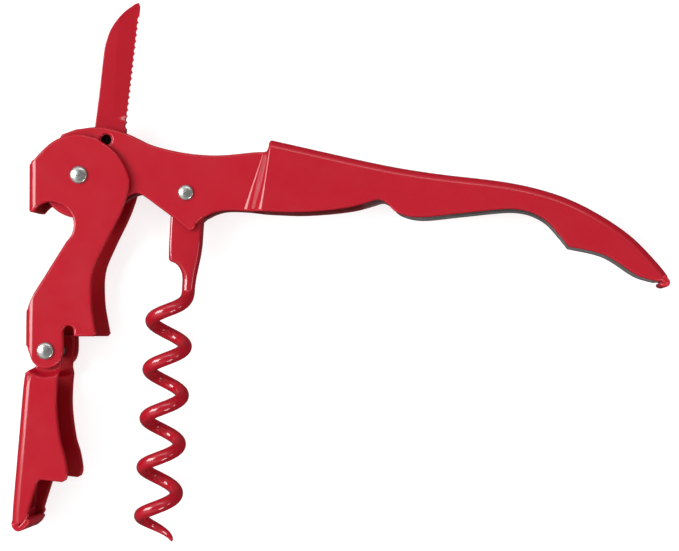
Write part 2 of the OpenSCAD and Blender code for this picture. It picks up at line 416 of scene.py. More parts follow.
def joined(outer, inner, faces, mirrored=True):
    """Mesh data from an outer and an inner face of the same triangles: vertices, polygons, and the
    polygons' kinds, which are 1 on the inner face and 0 elsewhere. If mirrored, it goes on with the
    other side of the mid-plane, and mesh_object welds the two halves."""
    used = np.unique(faces)
    renumbered = np.zeros(len(outer), int)
    renumbered[used] = np.arange(len(used))
    outer, inner, faces = outer[used], inner[used], renumbered[faces]
    count = len(outer)
    vertices = np.vstack([outer, inner])
    edges = dict.fromkeys((int(a), int(b)) for face in faces for a, b in zip(face, np.roll(face, -1)))
    rims = []
    for a, b in edges:
        on_seam = mirrored and abs(outer[a][2]) < 1e-6 and abs(outer[b][2]) < 1e-6
        if (b, a) not in edges and not on_seam:
            rims.append((b, a, a + count, b + count))
    polygons = [tuple(int(v) for v in face) for face in faces]
    polygons += [tuple(int(v) + count for v in face[::-1]) for face in faces]
    polygons += rims
    kinds = [0] * len(faces) + [1] * len(faces) + [0] * len(rims)
    if mirrored:
        total = len(vertices)
        vertices = np.vstack([vertices, vertices * [1, 1, -1]])
        polygons += [tuple(v + total for v in polygon[::-1]) for polygon in polygons]
        kinds += kinds
    return vertices, polygons, kinds


# -------------------- from data to objects

EDGE_CURVES = (0.45, 1.2)   # curvature, in 1/mm, where edge wear, and on the paint a painted edge highlight, start and where they are full


def stored(collection, name, width, kind=float):
    """A property of every element of a mesh, as rows of an array."""
    values = np.empty(len(collection) * width, kind)
    collection.foreach_get(name, values)
    return values.reshape(-1, width)


def mark_edges(mesh):
    """Stores where the surface is tightly rounded, 0 to 1, as the point attribute edge."""
    count = len(mesh.vertices)
    places = stored(mesh.vertices, "co", 3) / MM
    facing = stored(mesh.vertices, "normal", 3)
    pairs = stored(mesh.edges, "vertices", 2, int)
    total = np.zeros(count)
    weight = np.full(count, 1e-9)
    for here, there in ((pairs[:, 0], pairs[:, 1]), (pairs[:, 1], pairs[:, 0])):
        step = places[there] - places[here]
        length = np.maximum(np.linalg.norm(step, axis=1), 1e-4)
        bend = -2 * (step * facing[here]).sum(axis=1) / length ** 2
        np.add.at(total, here, bend * length)
        np.add.at(weight, here, length)
    sharp = ease((total / weight - EDGE_CURVES[0]) / (EDGE_CURVES[1] - EDGE_CURVES[0]))
    attribute = mesh.attributes.new("edge", "FLOAT", "POINT")
    attribute.data.foreach_set("value", sharp.astype(np.float32))


def mesh_object(name, vertices, polygons, kinds=None, weld=0.002):
    """A smooth-shaded object from mm data round the mid-plane, where points within weld are joined."""
    mesh = bpy.data.meshes.new(name)
    places = (np.asarray(vertices) + [0, 0, MID_Z]) * MM
    mesh.from_pydata([tuple(p) for p in places], [], polygons)
    if kinds:
        mesh.polygons.foreach_set("material_index", kinds)
    built = bmesh.new()
    built.from_mesh(mesh)
    bmesh.ops.remove_doubles(built, verts=built.verts, dist=weld * MM)
    bmesh.ops.dissolve_degenerate(built, edges=built.edges, dist=0.0005 * MM)
    for face in built.faces:
        face.smooth = True
    for edge in built.edges:
        if len(edge.link_faces) == 2 and edge.calc_face_angle(0) > math.radians(SHARP_ANGLE):
            edge.smooth = False
    built.to_mesh(mesh)
    built.free()
    mark_edges(mesh)
    obj = bpy.data.objects.new(name, mesh)
    bpy.context.collection.objects.link(obj)
    return obj


# -------------------- the pressed parts

# The handle: where its back bend starts and stops, where its lower edge meets the tail, and the slope
# from the narrow neck to the wide body.
BACK_START = at(36.0, 6.3)
BACK_STOP = at(109.2, -19.35)
TAIL_UNDER = at(107.3, -20.4)
TAIL_CORNER = at(108.95, -20.2)
JOGGLE_NECK = (at(35.0, 4.4), at(31.1, -6.4))
JOGGLE_BODY = (at(36.6, 4.2), at(35.2, -6.6))
JOGGLE_BEND = 0.48       # share of the slope taken up by each of its bends
RIVET_PROUD = 0.75       # how far the worm's rivet stands out of the neck

# The first lever: half its width at the head, where along its length (from the main rivet) it flares
# out, its two spines and the foot of its hook.
LEVER_HEAD_HALF = 4.5
LEVER_FLARE = (-5.0, -30.0)
FLAT_SPAN = (-12, 40)    # a span wider than the flat sheet, from the lever's left side
HOOK_SPINE = (2.3, -6.85)
LOW_SPINE = (-25.3, -32.1)
HOOK_FOOT = at(-9.4, -6.95)

# The second lever: half its width at the knuckle, distances from the hinge between which it steps out,
# where its back starts and stops, and its ends at the toe and beside the hinge.
KNUCKLE_HALF = 4.85
SECOND_STEP = (3.75, 5.3)
STEP_ARC = (150, 400)    # degrees round the hinge that the step takes up
SECOND_BACK = (at(-10.1, -37.8), at(-12.3, -64.7))
SECOND_FREE = (at(-8.9, -63.7), at(-10.0, -37.4))
TOE_LINE = [at(-10.9, -65.5), at(-9.9, -65.3), at(-9.1, -64.4)]

SLOPE_CUTS = 24          # strips that a slope in a cheek is split into
BACK_SPACING = 1.0       # of the points along the bends of the long backs and the short spines
SPINE_SPACING = 0.8


def line_side(points, line):
    """Distance of points to the right of a line from its first point to its second."""
    a, b = line
    along = (b - a) / np.linalg.norm(b - a)
    gap = points - a
    return -(along[0] * gap[..., 1] - along[1] * gap[..., 0])


def stretched(line, share):
    """A two-point line made longer at both ends."""
    a, b = line
    return np.array([a - (b - a) * share, b + (b - a) * share])


def ramp_with_bends(t, bend):
    """0 to 1 along a straight slope, with a short bend at each end."""
    t = np.clip(t, 0, 1)
    first = t * t / (2 * bend * (1 - bend))
    last = 1 - (1 - t) ** 2 / (2 * bend * (1 - bend))
    return np.where(t < bend, first, np.where(t > 1 - bend, last, (t - bend / 2) / (1 - bend)))


def handle_top(points):
    """Height of the handle's cheek: a narrow neck, a joggle, and the wide body."""
    neck = half_width("worm_rivet") - RIVET_PROUD
    body = half_width("handle")
    left = -line_side(points, JOGGLE_NECK)
    right = -line_side(points, JOGGLE_BODY)
    share = left / np.where(np.abs(left - right) < 1e-6, 1e-6, left - right)
    share = np.where(left <= 0, 0, np.where(right >= 0, 1, share))
    return neck + (body - neck) * ramp_with_bends(share, JOGGLE_BEND)


def first_top(points):
    """Height of the first lever's cheek, which flares out below its head."""
    wide = half_width("first_lever")
    start, stop = (MAIN[1] + y for y in LEVER_FLARE)
    share = np.clip((points[:, 1] - start) / (stop - start), 0, 1)
    return LEVER_HEAD_HALF + (wide - LEVER_HEAD_HALF) * share * share * (3 - 2 * share)


def second_top(points):
    """Height of the second lever's cheek, which steps out round the first lever's ears."""
    wide = half_width("second_lever")
    away = np.linalg.norm(points - HINGE, axis=1)
    start, stop = SECOND_STEP
    return KNUCKLE_HALF + (wide - KNUCKLE_HALF) * ease((away - start) / (stop - start))


def even(path, step):
    """An open path with points spaced evenly."""
    lengths = np.concatenate([[0], np.cumsum(np.linalg.norm(np.diff(path, axis=0), axis=1))])
    count = max(2, int(math.ceil(lengths[-1] / step)) + 1)
    places = np.linspace(0, lengths[-1], count)
    return np.stack([np.interp(places, lengths, path[:, k]) for k in (0, 1)], axis=1)


def slope_shares():
    """Places across a slope at which the sheet is split, from just before it to just after it."""
    return [k / SLOPE_CUTS for k in range(-1, SLOPE_CUTS + 2)]


def handle_sheet():
    outline, holes = outlines("handle")
    outline = smoothed(outline)
    # The loop goes round to the left, so the back runs from the tail to the joggle.
    back = even(run(outline, BACK_STOP, BACK_START), BACK_SPACING)
    bend = Bend(inset(back, BEND, False), handle_top)
    seam = bend.seam()
    rest = run(outline, BACK_START, TAIL_UNDER)
    flat = np.vstack([rest[1:], [TAIL_CORNER], seam])
    cuts = [stretched([(1 - share) * a + share * b for a, b in zip(JOGGLE_NECK, JOGGLE_BODY)], 0.6)
            for share in slope_shares()]
    return pressed(flat, holes, [(seam[0], seam[-1])],
                   [(bend, lambda points: bend.beside(points, 1.5))], cuts, NECK_HOLE_ROLL)


def first_sheet():
    outline, holes = outlines("first_lever")
    outline = smoothed(outline)
    left = outline[:, 0].min()
    hook, low = (np.array([[left, MAIN[1] + y] for y in spine]) for spine in (HOOK_SPINE, LOW_SPINE))
    bends = [Bend(inset(even(path, SPINE_SPACING), BEND, False), first_top) for path in (hook, low)]
    # Going round to the left, the loop passes the head's top, the hook's spine, its mouth,
    # the lower spine, the ear, the step and the free edge.
    hook_seam, low_seam = (bend.seam() for bend in bends)
    between = run(outline, HOOK_FOOT, low[0] + [0, 0.1])
    around = run(outline, low[1] + [0, -0.2], hook[0] + [0, 0.1])
    flat = np.vstack([around, hook_seam, between, low_seam])
    start, stop = (MAIN[1] + y for y in LEVER_FLARE)
    cuts = []
    for share in slope_shares():
        y = start + (stop - start) * share
        cuts.append(np.array([[left + x, y] for x in FLAT_SPAN]))
    middle = (hook[1][1] + low[0][1]) / 2
    return pressed(flat, holes, [(seam[0], seam[-1]) for seam in (hook_seam, low_seam)],
                   [(bends[0], lambda points: points[:, 1] >= middle),
                    (bends[1], lambda points: points[:, 1] < middle)], cuts, HOLE_ROLL)


def second_sheet():
    outline, holes = outlines("second_lever")
    outline = smoothed(outline)
    back = even(run(outline, *SECOND_BACK), BACK_SPACING)
    bend = Bend(inset(back, BEND, False), second_top)
    seam = bend.seam()
    flat = np.vstack([TOE_LINE, run(outline, *SECOND_FREE), seam])
    start, stop = SECOND_STEP
    angles = np.radians(np.linspace(*STEP_ARC, 60))
    circle = np.stack([np.cos(angles), np.sin(angles)], axis=1)
    cuts = [HINGE + (start + (stop - start) * share) * circle for share in slope_shares()]
    return pressed(flat, holes, [(seam[0], seam[-1])],
                   [(bend, lambda points: bend.beside(points, 0.4))], cuts, HOLE_ROLL)


# -------------------- curls at the sheet's ends

CURL_STEP = 0.12     # spacing of the rings along a curl
CURL_NARROW = 1.2    # how much narrower each side is inside the bend it starts from
TAIL_CURL = [(107.9, -18.1), (108.7, -19.05), (109.25, -19.75), (109.6, -20.3), (109.6, -20.85),
             (109.25, -21.3), (108.65, -21.45), (108.0, -21.25), (107.65, -20.95)]
TOE_CURL = [(-12.0, -62.9), (-12.22, -64.4), (-12.25, -65.3), (-12.02, -66.15), (-11.5, -66.68),
            (-10.9, -66.87), (-10.2, -66.66), (-9.5, -66.1), (-8.95, -65.4), (-8.6, -64.7)]


def smooth_path(points, pieces=8):
    """Catmull-Rom curve through the points."""
    points = [np.array(p, float) for p in points]
    padded = [2 * points[0] - points[1]] + points + [2 * points[-1] - points[-2]]
    result = []
    for a, b, c, d in zip(padded, padded[1:], padded[2:], padded[3:]):
        result += [hermite(b, c, (c - a) / 2, (d - b) / 2, k / pieces) for k in range(pieces)]
    return np.array(result + [points[-1]])


def rounded_ring(half_a, half_b, radius, steps=5):
    """Points round a rectangle with round corners, anticlockwise from its right side."""
    radius = min(radius, half_a, half_b)
    ring = []
    for corner, (sa, sb) in enumerate(((1, 1), (-1, 1), (-1, -1), (1, -1))):
        for k in range(steps + 1):
            angle = math.pi / 2 * (corner + k / steps)
            ring.append((sa * (half_a - radius) + radius * math.cos(angle),
                         sb * (half_b - radius) + radius * math.sin(angle)))
    return ring


def lofted(rings):
    """Closed mesh data through rings of equal length, with flat ends."""
    count = len(rings[0])
    vertices = [point for ring in rings for point in ring]
    polygons = [tuple(range(count - 1, -1, -1))]
    for i in range(len(rings) - 1):
        for k in range(count):
            j = (k + 1) % count
            polygons.append((i * count + k, i * count + j, (i + 1) * count + j, (i + 1) * count + k))
    last = (len(rings) - 1) * count
    polygons.append(tuple(range(last, last + count)))
    return vertices, polygons


def inner_room(path, side):
    """Distance from a path to its centre of curvature on one side, evened out along the path."""
    ahead = np.gradient(path, axis=0)
    heading = np.unwrap(np.arctan2(ahead[:, 1], ahead[:, 0]))
    curvature = np.maximum(np.gradient(heading) / CURL_STEP * side, 0.01)
    padded = np.pad(curvature, 4, mode="edge")
    return 1 / np.convolve(padded, np.full(9, 1 / 9), mode="valid")


def curl(points, side, thickness, half_w, roll=0.4, hidden=1.6, rear_short=0.0):
    """A strip of sheet on edge behind an outer path, from its root to its rolled end. side is 1 where
    the sheet lies on the path's left and -1 where it lies on its right. Its first hidden millimetres
    are narrower, so that they stay inside the bend they start from, and it ends rear_short mm before
    the rear cheek's side. From the path's first tight curl on it is thinner, so that its inner face
    doesn't cross itself."""
    path = even(smooth_path(points), CURL_STEP)
    inward = normals(path) * -side
    thick = np.minimum.accumulate(np.minimum(thickness, 0.92 * inner_room(path, side)))
    squeeze = 1 - rear_short / (2 * half_w)
    rings = []
    for k, place in enumerate(path):
        left = np.linalg.norm(path[-1] - place)
        short = roll_depth(left, roll) if left < roll else 0.0
        narrow = CURL_NARROW * (1 - ease((CURL_STEP * k - 0.5 * hidden) / (0.5 * hidden)))
        ring = rounded_ring(thick[k] / 2 - short, half_w - narrow - short, roll - short * 0.9)
        rings.append([(*(place + inward[k] * (thick[k] / 2 - a * side)), half_w - (half_w - b) * squeeze)
                      for a, b in ring[::-1]])
    return lofted(rings)


# -------------------- worm

WORM_LEAN = math.radians(3.35)
SHANK_HALF_T = 1.7   # half the flattened shank's thickness, and the rounding of its edges
SHANK_ROLL = 0.55
WIRE_R = 1.25
WIRE_SIDES = 28
HELIX_R = 3.3        # from the helix's axis to the wire's middle
HELIX_PITCH = 9.25
HELIX_TURNS = 4.95
HELIX_SIDE = 2.3     # how far the helix's axis is to the left of the rivet
HELIX_START = 20.0   # distance below the rivet, and half the length over which the turning sets in
WIND_UP = 1.8
TAPER_TURNS = 0.55   # turns over which the wire tapers to its point
POINT_SHARE = 0.06   # radius left at the point, as a share of the wire's
POINT_SHIFT = 0.35   # how far the taper leans to the helix's axis
SHANK_TOP = 3.1      # how far the shank reaches above its rivet
SHANK_END = 18.0     # where the shank has become round wire
BLEND_START = 9.0    # where the shank's corners start to round out to the wire, and where they have
BLEND_STOP = 17.5


def worm_turn(s):
    """Angle of the helix at a distance s down the worm."""
    if s < HELIX_START - WIND_UP:
        return 0.0
    if s > HELIX_START + WIND_UP:
        return 2 * math.pi * (s - HELIX_START) / HELIX_PITCH
    return 2 * math.pi * (s - HELIX_START + WIND_UP) ** 2 / (4 * WIND_UP) / HELIX_PITCH


def worm_point(s):
    """The wire's middle at a distance s down the worm, with the worm upright and its rivet at 0."""
    angle = worm_turn(s)
    return np.array([HELIX_R * math.cos(angle) - HELIX_SIDE, -s, HELIX_R * math.sin(angle)])


SHANK_LEFT = [(-3.1, 0), (-2.9, -1.1), (-2.2, -2.2), (-1, -2.93), (0, -3.1), (3, -3.05), (11.8, -3.0),
              (12.6, -2.97), (12.95, -2.72), (13.15, -2.2), (13.3, -1.75), (13.7, -1.2),
              (14.4, -0.7), (15.2, -0.38), (16.2, -0.26), (17.5, -0.25)]
SHANK_RIGHT = [(-3.1, 0), (-2.9, 1.1), (-2.2, 2.2), (-1, 2.93), (0, 3.1), (3, 3.05), (9.5, 3.0),
               (11.4, 2.88), (13.4, 2.66), (15.6, 2.4), (17.5, 2.25)]
SHANK_HALF = [(-3.1, SHANK_HALF_T), (9.5, SHANK_HALF_T), (13.0, 1.52), (15.5, 1.34), (18.0, WIRE_R)]


def along(table, s):
    """The value at s in a table of (s, value) rows."""
    return float(np.interp(s, [row[0] for row in table], [row[1] for row in table]))


def worm_stations(end):
    """Distances down the worm of its rings."""
    step = HELIX_PITCH / 64
    head = SHANK_TOP * -np.cos(np.linspace(0.12, math.pi / 2, 14))
    tip = end - 0.4 * (1 - np.linspace(0, 0.97, 8))
    return np.concatenate([head, np.linspace(0.4, 12.4, 25), np.arange(12.5, 17.9, 0.1),
                           np.arange(SHANK_END, end - 0.4, step), tip])


def worm_ring(s, end):
    """The section of the worm at a distance s: a rounded rectangle that turns into round wire."""
    angle = worm_turn(s)
    ahead = worm_point(s + 0.01) - worm_point(s - 0.01)
    ahead /= np.linalg.norm(ahead)
    side = np.cross(ahead, [math.cos(angle), 0, math.sin(angle)])
    side /= np.linalg.norm(side)
    out = np.cross(side, ahead)
    centre = worm_point(s)
    if s < SHANK_END:
        left, right = along(SHANK_LEFT, s), along(SHANK_RIGHT, s)
        centre[0] = (left + right) / 2
        half_a, half_b = (right - left) / 2, along(SHANK_HALF, s)
        share = float(ease((s - BLEND_START) / (BLEND_STOP - BLEND_START)))
        radius = SHANK_ROLL + (WIRE_R - SHANK_ROLL) * share
    else:
        full = min(1.0, (end - s) / (TAPER_TURNS * HELIX_PITCH))
        half_a = half_b = radius = WIRE_R * (POINT_SHARE + (1 - POINT_SHARE) * math.sqrt(full))
        centre = centre - out * POINT_SHIFT * (WIRE_R - half_a)
    return [centre + a * out + b * side for a, b in rounded_ring(half_a, half_b, radius, WIRE_SIDES // 4 - 1)]


def worm_mesh():
    end = HELIX_START + HELIX_TURNS * HELIX_PITCH
    vertices, polygons = lofted([worm_ring(s, end) for s in worm_stations(end)])
    cosine, sine = math.cos(-WORM_LEAN), math.sin(-WORM_LEAN)
    vertices = [(WORM[0] + cosine * x - sine * y, WORM[1] + sine * x + cosine * y, z)
                for x, y, z in vertices]
    return vertices, polygons


def drilled(obj, centre, radius):
    """Cuts a round hole along the rivet's axis. The cutter is removed again."""
    bpy.ops.mesh.primitive_cylinder_add(vertices=64, radius=radius * MM, depth=30 * MM,
                                        location=(*(np.array(centre) * MM), MID_Z * MM))
    drill = bpy.context.object
    cut = obj.modifiers.new("hole", "BOOLEAN")
    cut.object = drill
    cut.operation = "DIFFERENCE"
    cut.solver = "EXACT"
    bpy.context.view_layer.update()
    shape = bpy.data.meshes.new_from_object(obj.evaluated_get(bpy.context.evaluated_depsgraph_get()))
    obj.modifiers.clear()
    obj.data = shape
    bpy.data.objects.remove(drill)


# -------------------- blade

BLADE_HALF_T = 0.6
EDGE_HALF_T = 0.12
BLADE_ROLL = 0.16
GRIND = (at(5.35, 9.4), at(6.75, 33.5))
PLUNGE = (at(0.0, 10.9), at(12.0, 9.7))
GRIND_WIDTH = 3.2
PLUNGE_WIDTH = 1.9


def blade_half(points):
    """Half of the blade's thickness: full along the back, thin at the serrated edge."""
    ground = ramp_with_bends(line_side(points, GRIND) / GRIND_WIDTH, 0.04)
    started = ease(-line_side(points, PLUNGE) / PLUNGE_WIDTH)
    groove = 0.05 * np.exp(-((line_side(points, PLUNGE) - 0.1) / 0.22) ** 2)
    return BLADE_HALF_T - (BLADE_HALF_T - EDGE_HALF_T) * ground * started - groove


def moved_copies(line, stretch, step, numbers):
    """Copies of a two-point line, made longer and moved to its left by numbers of steps."""
    a, b = line
    left = np.array([-(b - a)[1], (b - a)[0]]) / np.linalg.norm(b - a)
    return [stretched(line, stretch) + left * step * k for k in numbers]


def blade_mesh():
    outline, holes = outlines("blade")
    outline = smoothed(outline, corner=24, shortest=0.1)
    hole = round_hole(holes[0])
    cuts = moved_copies(GRIND, 0.3, -GRIND_WIDTH / 8, range(9))
    cuts += moved_copies(PLUNGE, 0.2, PLUNGE_WIDTH / 8, range(-6, 10))
    for distance in roll_rings(BLADE_ROLL):
        for ring in (inset(outline, distance, True), inset(hole, distance, True)):
            cuts.append(np.vstack([ring, ring[:1]]))
    flat, faces = triangulated([outline, hole], cuts)
    half = blade_half(flat)
    gap = np.minimum(distance_to(flat, outline, True), distance_to(flat, hole, True))
    half = half - roll_depth(gap, BLADE_ROLL) * np.clip((half - 0.05) / BLADE_HALF_T, 0, 1)
    outer = np.hstack([flat, half[:, None]])
    inner = np.hstack([flat, -half[:, None]])
    vertices, polygons, _ = joined(outer, inner, faces, mirrored=False)
    return vertices, polygons


# -------------------- rivets

HEAD_H = 0.7         # height of a domed head
HEAD_RIM = 0.25      # share of it that is upright at the rim
PUNCH_R = 0.14       # flat-bottomed punch mark in each head
PUNCH_DEPTH = 0.4
EYELET_R = 1.15      # the blade's tubular rivet
EYELET_BORE_R = 0.98
SOLID_RIVETS = (("main_rivet", "handle", MAIN, 1.65), ("worm_rivet", "handle", WORM, 1.45),
                ("lever_rivet", "first_lever", HINGE, 1.6))


def lathed(profile, centre, sides=72):
    """Closed mesh data of a profile of (radius, z) points turned about a rivet's axis."""
    angles = [2 * math.pi * k / sides for k in range(sides)]
    return lofted([[(centre[0] + radius * math.cos(angle), centre[1] + radius * math.sin(angle), z)
                    for angle in angles] for radius, z in profile])


def rivet_profile(head_r, stack_half):
    """From the rear head's middle round to the front head's: punched domes on a plain shank."""
    bottom = stack_half + HEAD_H - PUNCH_DEPTH
    front = [(0.02, bottom), (PUNCH_R - 0.03, bottom)]
    for k in range(19):
        r = PUNCH_R + (head_r - PUNCH_R) * math.sin(math.pi / 2 * k / 18)
        dome = HEAD_RIM + (1 - HEAD_RIM) * max(0.0, 1 - (r / head_r) ** 2) ** 0.42
        front.append((r, stack_half + HEAD_H * dome))
    front += [(head_r - 0.03, stack_half + 0.08), (head_r - 0.18, stack_half + 0.01), (RIVET_R, stack_half)]
    return [(r, -z) for r, z in front] + front[::-1]


def eyelet_profile(half, outer, bore):
    """Tubular rivet with both ends flared into the countersunk holes, and a thin web at mid-depth."""
    front = [(outer - 0.02, half - 0.75), (outer, half - 0.55), (outer + 0.02, half - 0.42),
             (outer + 0.01, half - 0.34), (outer - 0.04, half - 0.30), (outer - 0.10, half - 0.32),
             (outer - 0.15, half - 0.42), (bore + 0.01, half - 0.6), (bore, half - 0.9),
             (bore, 0.5), (bore - 0.12, 0.34), (0.02, 0.3)]
    return [(r, -z) for r, z in front[::-1]] + front


def ring_mesh(outer, inner, low, high, centre, chamfer=0.12, sides=64):
    """Mesh data of a flat ring with chamfered outer edges, between two heights."""
    profile = [(inner, low), (outer - chamfer, low), (outer, low + chamfer), (outer, high - chamfer),
               (outer - chamfer, high), (inner, high)]
    vertices, polygons = lathed(profile, centre, sides)
    last = (len(profile) - 1) * sides
    bore = [(last + k, last + (k + 1) % sides, (k + 1) % sides, k) for k in range(sides)]
    return vertices, polygons[1:-1] + bore


# -------------------- materials

def rgba(colour):
    """A colour with its alpha, from a colour or from the brightness of a grey."""
    return (*colour, 1) if isinstance(colour, tuple) else (colour, colour, colour, 1)


def scaled(colour, share, lift=0.0):
    """A colour made lighter or darker, at most white."""
    return tuple(min(1.0, c * share + lift) for c in colour)


class Tree:
    """The node tree of a material or world."""

    def __init__(self, owner, shader="Principled BSDF"):
        owner.use_nodes = True
        self.nodes, self.links = owner.node_tree.nodes, owner.node_tree.links
        self.shader = self.nodes[shader]

    def fill(self, socket, value):
        """Links a socket to another one, or sets its constant."""
        if isinstance(value, bpy.types.NodeSocket):
            self.links.new(value, socket)
        else:
            socket.default_value = rgba(value) if socket.type == "RGBA" else value

    def node(self, kind, operation=None, *values, **inputs):
        """A new node with its operation and some of its inputs, given in order or by name."""
        made = self.nodes.new("ShaderNode" + kind)
        if operation:
            made.operation = operation
        for socket, value in zip(made.inputs, values):
            self.fill(socket, value)
        for name, value in inputs.items():
            self.fill(made.inputs[name.replace("_", " ")], value)
        return made

    def set(self, **inputs):
        """Sets or links the shader's own sockets."""
        for name, value in inputs.items():
            self.fill(self.shader.inputs[name.replace("_", " ")], value)

    def noise(self, scale, detail=3.0, roughness=0.5):
        """Noise in the object's own metres."""
        place = self.node("TexCoord").outputs["Object"]
        texture = self.node("TexNoise", Vector=place, Scale=scale, Detail=detail, Roughness=roughness)
        return texture.outputs["Fac"]

    def ramp(self, source, *stops):
        """Colours in place of a number, from (place, colour) stops."""
        made = self.node("ValToRGB", None, source)
        elements = made.color_ramp.elements
        for element, (place, colour) in zip((elements[0], elements[1]), (stops[0], stops[-1])):
            element.position = place
            element.color = rgba(colour)
        for place, colour in stops[1:-1]:
            elements.new(place).color = rgba(colour)
        return made.outputs["Color"]

    def mottled(self, scale, detail, *stops):
        """Noise turned into colours."""
        return self.ramp(self.noise(scale, detail), *stops)

    def mixed(self, kind, share, a, b):
        """Mix of two colours, where any of the three may be a socket."""
        mix = self.node("Mix")
        mix.data_type = "RGBA"
        mix.blend_type = kind
        for number, value in ((0, share), (6, a), (7, b)):
            self.fill(mix.inputs[number], value)
        return mix.outputs[2]

    def bumped(self, *layers):
        """Chains bump nodes for (height socket, strength, distance) layers, and sets the normal."""
        before = {}
        for height, strength, distance in layers:
            bump = self.node("Bump", Height=height, Strength=strength, Distance=distance, **before)
            before = {"Normal": bump.outputs["Normal"]}
        self.set(**before)
        return before["Normal"]

    def edge_share(self, scale, low, high):
        """How marked an edge is, for wear and on the paint also for a painted highlight: the edge attribute
        broken up by noise.
        """
        mark = self.node("Attribute")
        mark.attribute_name = "edge"
        uneven = self.node("Math", "MULTIPLY", mark.outputs["Fac"], self.noise(scale, 4))
        return self.ramp(uneven.outputs["Value"], (low, 0.0), (high, 1.0))


def red_paint(name, base, deep, roughness, coat, shine=0.5):
    """Glossy powder coat: fine orange peel and faint clouding, lighter on tight edges (partly thinner coat,
    partly a painted highlight), with rare chips.
    """
    material = bpy.data.materials.new(name)
    tree = Tree(material)
    cloud = tree.mottled(90, 3, (0.35, base), (0.7, deep))
    specks = tree.mottled(2600, 2, (0.60, 1.0), (0.78, 0.86))
    colour = tree.mixed("MULTIPLY", 1.0, cloud, specks)
    # Tightly rounded edges turn lighter and pinker: partly thinner coat, partly a painted highlight.
    colour = tree.mixed("MIX", tree.edge_share(900, 0.2, 0.6), colour, scaled(base, 1.25, 0.012))
    colour = tree.mixed("MIX", tree.edge_share(1900, 0.72, 0.78), colour, 0.34)
    sheen = tree.mottled(260, 4, (0.3, roughness * 0.85), (0.75, roughness * 1.25))
    tree.set(Base_Color=colour, Roughness=sheen, IOR=1.5, Specular_IOR_Level=shine, Coat_Weight=coat,
             Coat_Roughness=0.05)
    peel = (tree.noise(1100, 2, 0.4), 0.08, 0.00005)
    swell = (tree.noise(230, 2), 0.05, 0.00016)
    tree.set(Coat_Normal=tree.bumped(peel, swell))
    return material


def steel(name, base, roughness, brushed=0.0, metallic=1.0):
    """Bare or polished steel with fine scratches, faint smudges and rubbed edges."""
    material = bpy.data.materials.new(name)
    tree = Tree(material)
    smudge = tree.mottled(700, 4, (0.35, base), (0.75, scaled(base, 0.86)))
    colour = tree.mixed("MIX", tree.edge_share(1200, 0.2, 0.6), smudge, scaled(base, 1.2))
    worn = tree.mottled(1500, 3, (0.3, roughness * 0.8), (0.8, roughness * 1.5))
    tree.set(Base_Color=colour, Roughness=worn, Metallic=metallic)
    place = tree.node("TexCoord").outputs["Object"]
    stretched_place = tree.node("Mapping", Vector=place, Scale=(300, 5200, 5200)).outputs["Vector"]
    scratch = tree.node("TexNoise", Vector=stretched_place, Scale=1.0, Detail=2.0).outputs["Fac"]
    tree.bumped((scratch, 0.08 + brushed, 0.00003))
    return material


def oversprayed(name, bare, paint, *stops):
    """Bare steel inside the handle, with paint darkened as painted shade where stops say, along the handle's
    length.
    """
    material = bpy.data.materials.new(name)
    tree = Tree(material)
    lengthwise = tree.node("SeparateXYZ", Vector=tree.node("TexCoord").outputs["Object"]).outputs["X"]
    drift = tree.node("Math", "MULTIPLY_ADD", tree.noise(240), 0.008, lengthwise).outputs["Value"]
    share = tree.node("MapRange", Value=drift, From_Min=-0.060, From_Max=0.070).outputs["Result"]
    painted = tree.ramp(share, *stops)
    smudge = tree.mottled(700, 4, (0.35, bare), (0.75, scaled(bare, 0.8)))
    worn = tree.mottled(1500, 3, (0.3, 0.34), (0.8, 0.52))
    tree.set(Base_Color=tree.mixed("MIX", painted, smudge, paint), Roughness=worn,
             Metallic=tree.ramp(painted, (0.3, 0.65), (0.7, 0.0)))
    tree.bumped((tree.noise(3000, 2), 0.12, 0.00003))
    return material


RED = red_paint("red_powder_coat", (0.41, 0.008, 0.019), (0.395, 0.0075, 0.018), 0.17, 0.2, 0.4)
# The levers' inner faces: the outer red darkened as painted shade for the shadow inside the channels, and
# less glossy.
SHADED_INNER_RED = red_paint("red_powder_coat_darkened_as_inner_shade", (0.26, 0.001, 0.005), (0.24, 0.001, 0.004), 0.4, 0.0, 0.15)
DEEP_RED = red_paint("red_coated_tool_steel", (0.395, 0.0085, 0.019), (0.38, 0.008, 0.018), 0.12, 0.5, 0.6)
# Near-black red for the faces inside the tubular rivet's bore: painted shade for the dark hole.
BORE_SHADE_RED = red_paint("near_black_red_shade_in_the_bore", (0.05, 0.001, 0.002), (0.04, 0.001, 0.002), 0.4, 0.0, 0.15)
# Inside the handle: bare steel, and near the neck overspray whose red is darkened as painted shade for the
# shadow under the levers.
INSIDE_BARE_AND_SHADED = oversprayed("handle_inside_bare_and_shaded", (0.21, 0.205, 0.20), (0.14, 0.001, 0.003),
                     (0.0, 1.0), (0.52, 1.0), (0.60, 0.0), (1.0, 0.0))
POLISHED = steel("polished_rivet_steel", (0.52, 0.52, 0.50), 0.2, 0.0, 0.8)
PLAIN = steel("plain_washer_steel", (0.50, 0.50, 0.51), 0.35, 0.2)


# -------------------- the pieces

def add(name, data, body, node, slot, *materials):
    piece = mesh_object(name, *data)
    for material in materials:
        piece.data.materials.append(material)
    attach(piece, body)
    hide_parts(node)
    return piece


def add_levers_and_handle():
    add("handle_sheet", handle_sheet(), "handle", "handle", "red_paint", RED, INSIDE_BARE_AND_SHADED)
    # The levers' inner faces take the darkened red, which is painted shade.
    add("first_lever_sheet", first_sheet(), "first_lever", "first_lever", "red_paint", RED, SHADED_INNER_RED)
    add("second_lever_sheet", second_sheet(), "second_lever", "second_lever", "red_paint", RED, SHADED_INNER_RED)


